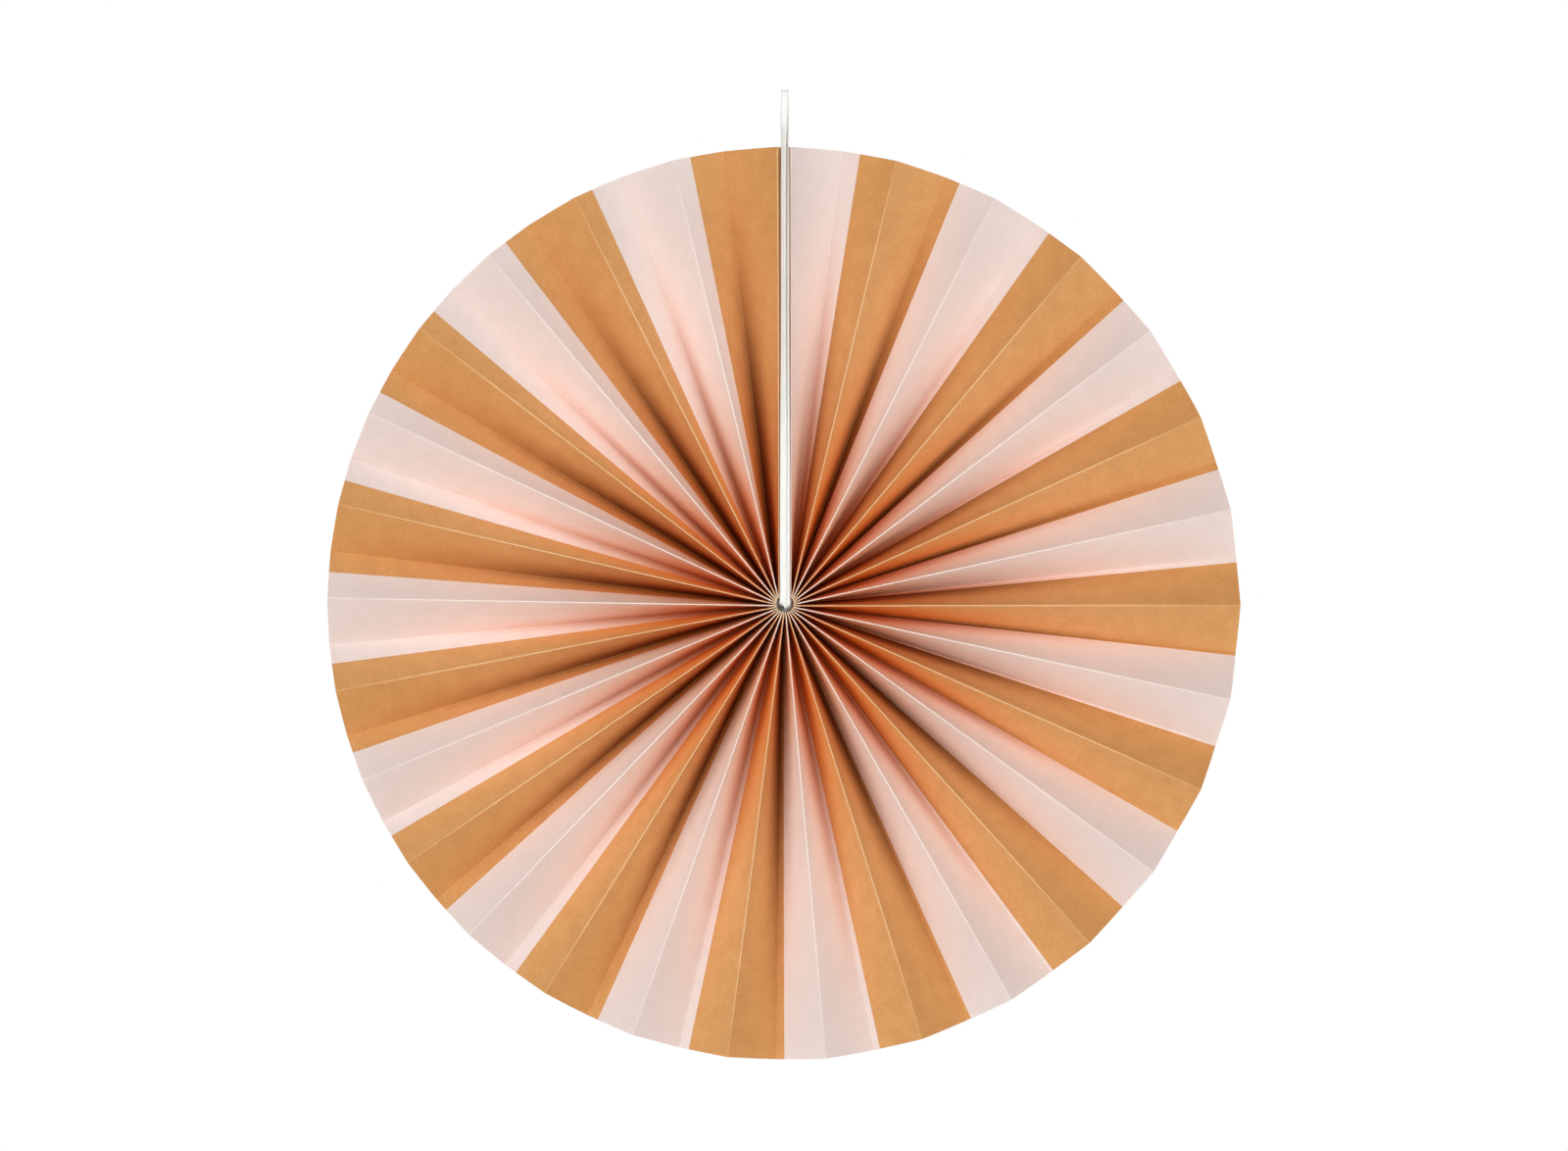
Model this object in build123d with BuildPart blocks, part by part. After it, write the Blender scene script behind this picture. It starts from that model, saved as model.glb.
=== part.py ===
from build123d import *
import os
from math import asin, cos, hypot, pi, radians, sin, sqrt

# Paper fan rosette: one printed strip of card, folded into radial pleats and closed into a disc, with a
# satin ribbon loop through its hub. Millimetres. The disc faces -Y, +X is to its right and +Z is up.
# The origin is the axis of the hook that the loop hangs on.

# The pleated strip
disc_diameter = 400
pleat_depth = 25  # paper from one fold to the next
sheet_thickness = 0.2
rim_fullness = 1.154  # paper round the rim, against the length of the rim itself
hub_end_gap = 0.09  # air between neighbouring layers where they crowd round the hub
rim_seam_width = 6.0  # opening between the two crests beside the seam, at the rim

# How unevenly the folds are spread, as shares of their mean spacing
rim_spread_once = 0.04
rim_spread_lean = 0.0085
rim_spread_twice = 0.041
hub_crowding = 0.12

# The tape that closes the seam
tape_width = 8
tape_thickness = 0.3
tape_inset = 0.5  # bare paper beyond the tape at each end

# The ribbon loop and its knot
ribbon_width = 3.0
ribbon_thickness = 0.3
strand_overlap = 1.3  # how far one strand lies over the other as they leave the hub
strand_gap = 0.05
ribbon_clearance = 0.3
hook_radius = 1.0
loop_above_rim = 23.3  # from the rim up to the hook's axis
hook_setback = 11.0  # how far the disc's middle plane lies behind the hook
hub_bend_radius = 2.2
loop_closing_height = 17  # below the hook, where the two strands have come side by side
strand_spread = 0.95  # each strand's middle from the centre line, up to where the loop closes
strand_turn = 66  # degrees that each strand has turned by there
knot_overhang = 1.1
knot_lobe_share = 0.53  # each turn's radius, and the fillet between turns, as shares of the knot's radius
knot_valley_share = 0.1
knot_depth = 4.5
knot_bevel = 1.2
tail_tilt = 24
tail_length = 13

# The thread that gathers the hub, and the holes punched for it. Both have few sides, to spare faces.
thread_radius = 0.3
thread_clearance = 0.15
thread_above_hub = 2.9  # from the hub's hole out to the thread
thread_sides = 8
thread_knot_bevel = 0.3
punch_reach = 0.64  # to each side of a trough's line, past its two layers and short of the next

stations = 8  # cross-sections along each fold

disc_radius = disc_diameter / 2
pleat_count = round(rim_fullness * pi * disc_radius / pleat_depth)
fold_count = 2 * pleat_count + 1  # crests and troughs, with a crest on each side of the seam
panel_count = fold_count - 1

# The hub's hole is what the crowded layers and the two strands of ribbon between them leave.
strands_width = 2 * ribbon_width - strand_overlap
hub_seam_width = strands_width + ribbon_clearance
layers_length = panel_count * (sheet_thickness + hub_end_gap) / (1 - hub_crowding)
hub_radius = (layers_length + hub_seam_width) / (2 * pi)

hub_seam_angle = asin(hub_seam_width / 2 / hub_radius)
rim_seam_angle = asin(rim_seam_width / 2 / disc_radius)
hub_span = 2 * (pi - hub_seam_angle)
rim_span = 2 * (pi - rim_seam_angle)

# Each fold is rounded to a narrow flat, as wide as a layer's share of the hub.
fold_flat = hub_radius * hub_span / panel_count * (1 - hub_crowding)
wall_width = pleat_depth - fold_flat

hub = Vector(0, hook_setback, -(disc_radius + loop_above_rim))
inward = Vector(0, 1, 0)
seam_across = Vector(1, 0, 0)


def around(angle, radius):
    """The point of the disc's middle plane at that angle, counter-clockwise from +X, and radius."""
    return hub + Vector(radius * cos(angle), 0, radius * sin(angle))


def fold_ends(fold):
    """A fold's ends at the hub and at the rim. Folds are numbered clockwise from the seam's right side."""
    share = fold / panel_count
    turn = 2 * pi * share
    at_rim = share + rim_spread_once * sin(turn) / (2 * pi)
    at_rim += rim_spread_lean * (1 - cos(turn)) / (2 * pi)
    at_rim += rim_spread_twice * sin(2 * turn) / (4 * pi)
    at_hub = share - hub_crowding * sin(turn) / (2 * pi)
    hub_angle = pi / 2 - hub_seam_angle - hub_span * at_hub
    rim_angle = pi / 2 - rim_seam_angle - rim_span * at_rim
    return around(hub_angle, hub_radius), around(rim_angle, disc_radius)


folds = [fold_ends(fold) for fold in range(fold_count)]


def fold_across(fold):
    """The unit vector across a fold, pointing on clockwise round the disc."""
    start, end = folds[fold]
    along = (end - start).normalized()
    return Vector(along.Z, 0, -along.X)


def fold_flank(fold, side, place):
    """Where a fold's flat meets the panel before it (side -1) or after it (side 1), on the middle plane."""
    start, end = folds[fold]
    return start + (end - start) * place + fold_across(fold) * (side * fold_flat / 2)


def panel_rise(panel, place):
    """The depth that one panel spans: what its width leaves once it reaches from fold to fold."""
    reach = (fold_flank(panel + 1, -1, place) - fold_flank(panel, 1, place)).length
    return sqrt(wall_width**2 - reach**2)


def fold_depth(fold, place):
    """How far a fold lies behind the disc's middle plane: crests are in front of it."""
    beside = [panel for panel in (fold - 1, fold) if 0 <= panel < panel_count]
    rise = sum(panel_rise(panel, place) for panel in beside) / len(beside)
    return rise / 2 * (-1 if fold % 2 == 0 else 1)


def flap_corners(side, place):
    """An end panel's bend and free edge. It folds back from the crest beside the seam to meet its twin."""
    fold = 0 if side > 0 else fold_count - 1
    crest = fold_flank(fold, -side, place) + inward * fold_depth(fold, place)
    taped_x = side * (tape_thickness + sheet_thickness) / 2
    slant = pleat_depth - tape_width
    back = sqrt(slant**2 - (crest.X - taped_x) ** 2)
    bend = Vector(taped_x, crest.Y + back, crest.Z)
    return bend, bend + inward * tape_width


def flap_middle(side, place):
    """Where an end flap crosses the disc's middle plane."""
    fold = 0 if side > 0 else fold_count - 1
    crest = fold_flank(fold, -side, place) + inward * fold_depth(fold, place)
    bend, _ = flap_corners(side, place)
    return crest + (bend - crest) * ((hub.Y - crest.Y) / (bend.Y - crest.Y))


def section(place):
    """The strip's middle line at one share of the way from hub to rim, clockwise: points and their across."""
    bend, edge = flap_corners(1, place)
    line = [(edge, seam_across), (bend, seam_across)]
    for fold in range(fold_count):
        for side in (-1, 1):
            point = fold_flank(fold, side, place) + inward * fold_depth(fold, place)
            line.append((point, fold_across(fold)))
    bend, edge = flap_corners(-1, place)
    return line + [(bend, seam_across), (edge, seam_across)]


def printed_normal(start, end):
    """Across and depth parts of the unit normal on the printed side of one straight of a section."""
    step = end - start
    reach, rise = hypot(step.X, step.Z), step.Y
    return rise / hypot(reach, rise), -reach / hypot(reach, rise)


def two_sides(line):
    """A section's printed and plain outlines, half the sheet's thickness to each side, with mitred corners."""
    normals = [printed_normal(a, b) for (a, _), (b, _) in zip(line, line[1:])]
    printed, plain = [], []
    for k, (point, across) in enumerate(line):
        before, after = normals[max(k - 1, 0)], normals[min(k, len(normals) - 1)]
        mitre = 1 + before[0] * after[0] + before[1] * after[1]
        shift = across * ((before[0] + after[0]) / mitre) + inward * ((before[1] + after[1]) / mitre)
        printed.append(point + shift * (sheet_thickness / 2))
        plain.append(point - shift * (sheet_thickness / 2))
    return printed, plain


def facet(*corners):
    return Face(Wire.make_polygon(corners, close=True))


def patch(a, b, c, d, flat, lean):
    """The facets over one four-cornered stretch of paper: one where it is flat, or two along a diagonal."""
    if flat:
        return [facet(a, b, c, d)]
    if lean:
        return [facet(a, b, c), facet(a, c, d)]
    return [facet(a, b, d), facet(b, c, d)]


# The stations stand closer towards the rim, where the panels turn fastest as they open out.
widest_reach = disc_radius * rim_span / panel_count * (1 + rim_spread_once + rim_spread_twice)
rim_lean = asin(min(widest_reach / pleat_depth, 1))
places = [sin(rim_lean * k / stations) / sin(rim_lean) for k in range(stations + 1)]
# One more, just past the thread's holes, keeps the facets true to the folds there.
places.insert(1, (thread_above_hub + 1.5 * (thread_radius + thread_clearance)) / disc_radius)
outlines = [two_sides(section(place)) for place in places]

last = len(outlines[0][0]) - 1
facets = []
for k in range(last):
    # The section's points go two to a fold, after the first flap's two.
    flap_or_flat = k % 2 == 0
    crest_first = (k - 1) // 2 % 2 == 1
    for near, far in zip(outlines, outlines[1:]):
        for a, b in zip(near, far):
            facets += patch(a[k], a[k + 1], b[k + 1], b[k], flap_or_flat, crest_first)
    for printed, plain in (outlines[0], outlines[-1]):
        facets += patch(printed[k], printed[k + 1], plain[k + 1], plain[k], flap_or_flat, True)
for near, far in zip(outlines, outlines[1:]):
    for k in (0, last):
        facets.append(facet(near[0][k], near[1][k], far[1][k], far[0][k]))

# The thread crosses every layer at the disc's middle depth. Beside each trough two layers lie close
# together, and one punch goes through both. The end flaps have a hole each.
thread_ring_radius = hub_radius + thread_above_hub


def punch_plane(start, end):
    """The plane of a hole, where a line on the middle plane meets the thread's ring.

    It is turned halfway between square to the thread and square to the layers that it goes through.
    """
    way, out = (end - start).normalized(), start - hub
    along = sqrt(out.dot(way) ** 2 + thread_ring_radius**2 - out.dot(out)) - out.dot(way)
    spot = start + way * along
    return Plane(origin=spot, x_dir=inward, z_dir=inward.cross((spot - hub).normalized() + way))


near_hub = 2 * thread_above_hub / disc_radius
flap_punches = [punch_plane(flap_middle(side, 0), flap_middle(side, near_hub)) for side in (1, -1)]
trough_punches = [punch_plane(*folds[fold]) for fold in range(1, fold_count, 2)]

with BuildPart() as pleated_sheet:
    add(Solid(Shell(facets)))
    with BuildSketch(*flap_punches, *trough_punches):
        RegularPolygon(thread_radius + thread_clearance, thread_sides)
    extrude(amount=punch_reach, both=True, mode=Mode.SUBTRACT)

# The thread is drawn tight through every layer and knotted between the two end flaps.
thread_knot_size = 2 * flap_punches[0].origin.X - sheet_thickness - 2 * thread_clearance
with BuildPart() as gathering_thread:
    with Locations(hub + Vector(0, 0, thread_ring_radius)):
        Box(thread_knot_size, thread_knot_size, thread_knot_size)
    chamfer(gathering_thread.edges(), thread_knot_bevel)
    with BuildSketch(Plane.XY.offset(hub.Z)):
        with Locations((hub.X + thread_ring_radius, hub.Y)):
            RegularPolygon(thread_radius, thread_sides)
    revolve(axis=Axis(hub, inward))

# The tape follows the flaps' free edges, between their two plain faces.
flap_lines = [flap_corners(1, place) for place in places]
with BuildPart() as seam_tape:
    with BuildSketch(Plane.YZ) as taped:
        with BuildLine():
            bends = [(bend.Y + tape_inset, bend.Z) for bend, _ in flap_lines]
            edges = [(edge.Y - tape_inset, edge.Z) for _, edge in flap_lines]
            Polyline(*bends, *reversed(edges), close=True)
        make_face()
    extrude(amount=tape_thickness / 2, both=True)

# The ribbon's two strands come out of the hub side by side, rise in front of the seam with a slow turn,
# and meet again under the hook. The left strand (side -1) lies in front of the right one at the hub.
hub_half_depth = (wall_width + sheet_thickness) / 2
strand_middle = (ribbon_width - strand_overlap) / 2
strand_pitch = ribbon_thickness + strand_gap
right_strand_y = hub.Y - hub_half_depth - ribbon_clearance - ribbon_thickness / 2
bend_y = right_strand_y + hub_bend_radius
bend_z = hub.Z + hub_bend_radius + strand_pitch / 2
loop_radius = hook_radius + ribbon_thickness / 2
knot_front = hub.Y + hub_half_depth + ribbon_clearance


def hub_bend(side):
    """The radius of one strand's middle line where it bends out of the hub."""
    return hub_bend_radius + (strand_pitch if side < 0 else 0)


def strand_plane(side, height, spread, turn, share):
    """A cross-section of a strand: share is how far its depth has gone from the hub's to the hook's."""
    hub_y = bend_y - hub_bend(side)
    depth = hub_y + (side * loop_radius - hub_y) * share
    across = Vector(cos(radians(turn)), -sin(radians(turn)), 0)
    return Plane(origin=(side * spread, depth, height), x_dir=across, z_dir=(0, 0, 1))


def strand_planes(side):
    """The cross-sections of one strand from the hub's bend to the hook's, with its steady turn between."""
    for share in (0, 0.25, 0.5, 0.75, 1):
        height = bend_z + (-loop_closing_height - bend_z) * share
        spread = strand_middle + (strand_spread - strand_middle) * share
        yield strand_plane(side, height, spread, strand_turn * share, share * (1 - loop_closing_height / -bend_z))
    for left in (0.6, 0.25, 0):
        height = -loop_closing_height * left
        yield strand_plane(side, height, strand_spread * left, strand_turn * left, 1 - height / bend_z)


with BuildPart() as hanging_loop:
    for side in (-1, 1):
        for plane in strand_planes(side):
            with BuildSketch(plane):
                Rectangle(ribbon_width, ribbon_thickness)
        loft(ruled=True)
        start = strand_plane(side, bend_z, strand_middle, 0, 0)
        with BuildSketch(start):
            Rectangle(ribbon_width, ribbon_thickness)
        revolve(axis=Axis((0, bend_y, bend_z), (1, 0, 0)), revolution_arc=90)
        through = Vector(side * strand_middle, bend_y, bend_z - hub_bend(side))
        with BuildSketch(Plane(origin=through, x_dir=(1, 0, 0), z_dir=(0, 1, 0))):
            Rectangle(ribbon_width, ribbon_thickness)
        extrude(amount=knot_front - bend_y)
    with BuildSketch(strand_plane(-1, 0, 0, 0, 1)):
        Rectangle(ribbon_width, ribbon_thickness)
    revolve(axis=Axis((0, 0, 0), (-1, 0, 0)), revolution_arc=180)

# The knot behind the hub is too wide to pull through it: three crushed turns, and two cut tails.
knot_radius = hub_radius + knot_overhang
knot_lobe_radius = knot_radius * knot_lobe_share
knot_face = Plane(origin=(hub.X, knot_front, hub.Z), z_dir=(0, 1, 0))
with BuildPart() as loop_knot:
    with BuildSketch(knot_face) as turns:
        with PolarLocations(knot_radius - knot_lobe_radius, 3, start_angle=90):
            Circle(knot_lobe_radius)
        fillet(turns.vertices(), knot_radius * knot_valley_share)
    extrude(amount=knot_depth)
    flat_ends = loop_knot.faces().filter_by(Axis.Y)
    chamfer(flat_ends.edges(), knot_bevel)
    for side in (-1, 1):
        with Locations(Location(hub + inward * (knot_front + knot_depth / 2 - hub.Y), (0, side * tail_tilt, 0))):
            Box(
                ribbon_width,
                ribbon_thickness,
                knot_radius + tail_length,
                align=(Align.CENTER, Align.CENTER, Align.MAX),
            )

bend_radii = {"out of the hub": (hub_bend(1), hub_bend(-1)), "over the hook": (loop_radius,)}
for bend, radii in bend_radii.items():
    print("ribbon bend", bend + ":", ", ".join(f"{radius:.2f}" for radius in radii), "mm")

os.makedirs("parts", exist_ok=True)
for name, piece in {
    "pleated_sheet": pleated_sheet,
    "seam_tape": seam_tape,
    "gathering_thread": gathering_thread,
    "hanging_loop": hanging_loop,
    "loop_knot": loop_knot,
}.items():
    piece.part.label = name
    export_step(piece.part, f"parts/{name}.step")
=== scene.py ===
"""Paper fan rosette: a striped strip of card folded into radial pleats, hung by a satin ribbon loop."""

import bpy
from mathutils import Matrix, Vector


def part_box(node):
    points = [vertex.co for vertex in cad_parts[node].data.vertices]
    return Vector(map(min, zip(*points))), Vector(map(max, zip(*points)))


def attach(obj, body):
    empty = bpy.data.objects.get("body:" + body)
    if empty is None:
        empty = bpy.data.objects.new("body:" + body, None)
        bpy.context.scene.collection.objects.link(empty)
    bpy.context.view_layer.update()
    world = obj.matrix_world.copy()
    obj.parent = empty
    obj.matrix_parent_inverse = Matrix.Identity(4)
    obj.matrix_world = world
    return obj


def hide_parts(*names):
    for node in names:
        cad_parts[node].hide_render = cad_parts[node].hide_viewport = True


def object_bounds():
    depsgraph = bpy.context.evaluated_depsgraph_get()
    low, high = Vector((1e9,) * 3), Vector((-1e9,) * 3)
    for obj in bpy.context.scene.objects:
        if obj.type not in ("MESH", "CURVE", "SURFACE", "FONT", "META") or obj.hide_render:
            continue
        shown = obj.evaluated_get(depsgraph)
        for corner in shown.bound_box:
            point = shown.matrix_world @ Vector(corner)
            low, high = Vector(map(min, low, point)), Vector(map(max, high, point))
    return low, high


bl_info = {
    "name": "Paper Fan Rosette",
    "version": (1, 0, 0),
    "blender": (4, 5, 0),
    "location": "3D View > Sidebar > Rosette",
    "description": "Makes the pleated sheet, ribbon loop, knot and stage of a paper fan rosette",
    "category": "Add Mesh",
}

from functools import cached_property, partial, reduce
from math import asin, cos, pi, radians, sin, sqrt

import bmesh
import bpy
from bpy.props import FloatProperty, FloatVectorProperty, IntProperty, PointerProperty
from mathutils import Vector, noise

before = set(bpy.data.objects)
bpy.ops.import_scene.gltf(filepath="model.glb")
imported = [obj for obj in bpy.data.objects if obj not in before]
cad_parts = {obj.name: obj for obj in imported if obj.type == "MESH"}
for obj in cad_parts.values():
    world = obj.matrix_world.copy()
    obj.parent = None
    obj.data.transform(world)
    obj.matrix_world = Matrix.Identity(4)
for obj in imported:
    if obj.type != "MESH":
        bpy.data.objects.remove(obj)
CAD_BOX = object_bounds()

INWARD = Vector((0, 1, 0))


# Settings


def colour(name, description, default):
    return FloatVectorProperty(
        name=name, description=description, default=default, size=3, min=0, max=1, subtype="COLOR"
    )


def length(name, description, default):
    return FloatProperty(
        name=name, description=description, default=default, min=0, unit="LENGTH", precision=5
    )


def angle(name, description, degrees):
    return FloatProperty(name=name, description=description, default=radians(degrees), subtype="ANGLE")


def share(name, description, default, high=1.0):
    return FloatProperty(
        name=name, description=description, default=default, min=0, max=high, subtype="FACTOR"
    )


def lamp_level(name, description, default):
    return share(name, description, default, high=4)


class SheetSettings(bpy.types.PropertyGroup):
    """Sizes and colours of the pleated strip of card."""

    disc_diameter: length("Disc Diameter", "Across the rim", 0.4)
    pleat_depth: length("Pleat Depth", "Card from one fold to the next", 0.025)
    sheet_thickness: length("Card Thickness", "Thickness of the card", 0.0002)
    pleats: IntProperty(name="Pleats", description="Crests round the disc", default=29, min=8, max=80)
    hub_radius: length("Hub Radius", "From the axis to the inner ends of the folds", 0.003838)
    hub_seam: length("Seam at Hub", "Opening between the crests beside the seam, at the hub", 0.005)
    rim_seam: length("Seam at Rim", "Opening between the crests beside the seam, at the rim", 0.006)
    fold_flat: length("Fold Width", "Width of the narrow flat along each fold", 0.000283)
    tape_width: length("Taped Width", "Width of each end flap that is taped to its twin", 0.008)
    tape_gap: length("Tape Gap", "Room between the two taped flaps", 0.0003)
    unevenness: length("Unevenness", "How far the card's panels bulge or dip", 0.00072)
    rim_bow: length("Rim Bow", "How far a panel's edge bows out between its folds, at the rim", 0.0001)
    first_stripe: length("First Stripe", "Pink card from the seam's right crest on", 0.0329)
    stripe_width: length("Stripe Width", "Width of each printed stripe", 0.04913)
    pink: colour("Pink", "Colour of the pale stripes", (0.98, 0.815, 0.755))
    caramel: colour("Caramel", "Colour of the dark stripes", (0.80, 0.390, 0.147))
    # Painted shade and painted bounced light: the darker, warmer colours the stripes are given at the hub.
    hub_shaded_pink: colour("Hub Pink", "Colour of the pale stripes at the hub", (1.0, 0.66, 0.39))
    hub_shaded_caramel: colour("Hub Caramel", "Colour of the dark stripes at the hub", (0.93, 0.28, 0.04))
    plain: colour("Plain Card", "Colour of the unprinted back", (0.90, 0.885, 0.85))
    thread_offset: length("Thread Offset", "From the hub's hole out to the gathering thread", 0.0029)
    # Painted shade: how dark the troughs are painted.
    fold_shade_strength: share("Fold Density", "How much denser the print is down in the folds", 0.85)
    crease_wear: share("Crease Wear", "How far the print has cracked off the crests", 0.8)


class RibbonSettings(bpy.types.PropertyGroup):
    """Sizes and colours of the ribbon loop and its knot."""

    ribbon_width: length("Ribbon Width", "Width of the satin ribbon", 0.003)
    ribbon_thickness: length("Ribbon Thickness", "Thickness of the satin ribbon", 0.0003)
    strand_turn: angle("Strand Turn", "How far both strands have turned where the loop closes", 50)
    turning_length: length("Turning Length", "Above the hub, over which both strands turn on edge", 0.13)
    loop_closing: length("Loop Closing", "Below the hook, where the strands have come side by side", 0.024)
    hole_lean: angle("Lean in Hole", "How far the strands lean against each other in the hub's hole", 38)
    knot_radius: length("Knot Radius", "Outer radius of the knot's turns", 0.00494)
    rope_radius: length("Rope Radius", "Radius of the doubled ribbon in the knot", 0.0014)
    knot_crush: share("Knot Crush", "Thickness of the crushed ribbon in the knot, as a share of it", 0.86)
    tail_length: length("Tail Length", "Ribbon that hangs out of the knot", 0.013)
    tail_lean: angle("Tail Lean", "How far each cut end leans to its side", 24)
    satin: colour("Satin", "Colour of the ribbon", (0.93, 0.92, 0.88))


class StageSettings(bpy.types.PropertyGroup):
    """The camera, lamps and floor."""

    camera_distance: length("Camera Distance", "From the camera to the disc", 5.0)
    camera_left: length("Camera Left", "How far to the left of the hub the camera stands", 0.159)
    camera_up: length("Camera Up", "How far above the hub the camera stands", 0.040)
    lens: FloatProperty(
        name="Lens", description="Focal length", default=262, min=10, max=600, subtype="DISTANCE_CAMERA"
    )
    side_light: lamp_level("Side Light", "Level of each lamp beside the disc", 0.37)
    front_light: lamp_level("Front Light", "Level of the lamp above the camera", 0.18)
    fill_light: lamp_level("Fill Light", "Level of the lamp behind the camera, into the folds", 0.16)
    back_light: lamp_level("Back Light", "Level of the lamp behind the disc", 0.75)
    room_light: lamp_level("Room Light", "Level of the light from all round", 0.05)
    floor_drop: length("Floor Drop", "From the hook down to the floor", 0.85)
    floor: colour("Floor", "Colour of the floor", (0.9, 0.9, 0.9))


# The card's shape


class FoldPlan:
    """Where every fold of the strip lies. Folds are numbered clockwise from the seam's right crest."""

    hub = Vector((0, 0.011, -0.2233))

    # How far the folds stand off an even spread: waves round the disc, at the rim and then at the hub.
    rim_spread_once = 0.04
    rim_spread_lean = 0.0085
    rim_spread_twice = 0.041
    hub_crowding = 0.12

    # Where columns of the grid stand, as shares of a panel's width and of a flap's taped width.
    panel_parts = (0.02, 0.2, 0.4, 0.6, 0.8, 0.98)
    taped_parts = (0, 0.04, 0.5, 1)

    def __init__(self, sheet):
        self.sheet = sheet
        self.panels = 2 * sheet.pleats
        self.disc_radius = sheet.disc_diameter / 2
        self.wall = sheet.pleat_depth - sheet.fold_flat
        self.ends = [self.fold_ends(fold) for fold in range(self.panels + 1)]

    def around(self, bearing, radius):
        return self.hub + Vector((radius * cos(bearing), 0, radius * sin(bearing)))

    def fold_ends(self, fold):
        """A fold's ends at the hub and at the rim, on the disc's middle plane."""
        part = fold / self.panels
        turn = 2 * pi * part
        at_rim = part + self.rim_spread_once * sin(turn) / (2 * pi)
        at_rim += self.rim_spread_lean * (1 - cos(turn)) / (2 * pi)
        at_rim += self.rim_spread_twice * sin(2 * turn) / (4 * pi)
        at_hub = part - self.hub_crowding * sin(turn) / (2 * pi)
        hub_seam_angle = asin(self.sheet.hub_seam / 2 / self.sheet.hub_radius)
        rim_seam_angle = asin(self.sheet.rim_seam / 2 / self.disc_radius)
        hub_bearing = pi / 2 - hub_seam_angle - 2 * (pi - hub_seam_angle) * at_hub
        rim_bearing = pi / 2 - rim_seam_angle - 2 * (pi - rim_seam_angle) * at_rim
        return self.around(hub_bearing, self.sheet.hub_radius), self.around(rim_bearing, self.disc_radius)

    def flank(self, fold, side, place):
        """Where a fold's flat meets the panel before it (side -1) or after it (side 1).

        Place runs from 0 at the hub to 1 at the rim.
        """
        start, end = self.ends[fold]
        along = (end - start).normalized()
        across = Vector((along.z, 0, -along.x))
        return start + (end - start) * place + across * (side * self.sheet.fold_flat / 2)

    def panel_rise(self, panel, place):
        """How deep a panel reaches from its crest to its trough, so that it keeps its width."""
        reach = (self.flank(panel + 1, -1, place) - self.flank(panel, 1, place)).length
        return sqrt(self.wall**2 - reach**2)

    def depth(self, fold, place):
        """How far a fold lies behind the disc's middle plane. Crests are in front of it."""
        beside = [panel for panel in (fold - 1, fold) if 0 <= panel < self.panels]
        rise = sum(self.panel_rise(panel, place) for panel in beside) / len(beside)
        return rise / 2 * (-1 if fold % 2 == 0 else 1)

    def fold_point(self, fold, side, place):
        """A point on a fold: side -1 and 1 are its flanks, and 0 its rounded middle."""
        point = self.flank(fold, side, place) + INWARD * self.depth(fold, place)
        if side == 0:
            point += INWARD * (self.sheet.fold_flat / 5 * (-1 if fold % 2 == 0 else 1))
        return point

    def bulge(self, panel, part, place):
        """How far a panel's card stands out of its plane: uneven from panel to panel and along each."""
        broad = noise.noise(Vector((panel * 1.7, place * 2.6, 0.4)))
        fine = noise.noise(Vector((panel * 2.3, place * 6.1 + part * 0.9, 7.2)))
        return INWARD * (self.sheet.unevenness * sin(pi * part) * place * (broad + fine / 2))

    def panel_point(self, panel, part, place):
        # The card is as long up the middle of a panel as along its folds, so its rim bows out a little.
        place *= 1 + self.sheet.rim_bow * sin(pi * part) / self.disc_radius
        start = self.fold_point(panel, 1, place)
        end = self.fold_point(panel + 1, -1, place)
        return start.lerp(end, part) + self.bulge(panel, part, place)

    def flap_lines(self, side, place):
        """An end flap's crest, bend and free edge. It folds back from the seam's crest to meet its twin."""
        crest = self.fold_point(0 if side > 0 else self.panels, -side, place)
        taped_x = side * (self.sheet.tape_gap + self.sheet.sheet_thickness) / 2
        slant = self.sheet.pleat_depth - self.sheet.tape_width
        bend = Vector((taped_x, crest.y + sqrt(slant**2 - (crest.x - taped_x) ** 2), crest.z))
        return crest, bend, bend + INWARD * self.sheet.tape_width

    def flap_point(self, side, line, part, place):
        """A point on an end flap, part of the way from one of its three lines to the next."""
        lines = self.flap_lines(side, place)
        return lines[line].lerp(lines[line + 1], part)

    def flap_columns(self, side):
        """An end flap's columns: how far out from the seam's crest, in pleats, and where each is."""
        half_flat = self.sheet.fold_flat / 2 / self.sheet.pleat_depth
        taped = self.sheet.tape_width / self.sheet.pleat_depth
        slant = 1 - taped - half_flat
        found = []
        for part in self.panel_parts:
            found.append((half_flat + slant * part, partial(self.flap_point, side, 0, part)))
        for part in self.taped_parts:
            found.append((1 - taped * (1 - part), partial(self.flap_point, side, 1, part)))
        return found

    def columns(self):
        """All columns from one free edge to the other: how far along, in pleats, and where each is."""
        half_flat = self.sheet.fold_flat / 2 / self.sheet.pleat_depth
        found = [(-out, point) for out, point in reversed(self.flap_columns(1))]
        for fold in range(self.panels + 1):
            for side in (-1, 0, 1):
                found.append((fold + side * half_flat, partial(self.fold_point, fold, side)))
            if fold < self.panels:
                for part in self.panel_parts:
                    along = fold + half_flat + (1 - 2 * half_flat) * part
                    found.append((along, partial(self.panel_point, fold, part)))
        found += [(self.panels + out, point) for out, point in self.flap_columns(-1)]
        return found


def place_of_row(part):
    """Rows stand closer near the rim, where the panels open out fastest."""
    return 0.5 * part + 0.5 * sin(part * pi / 2)


# Meshes


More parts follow.
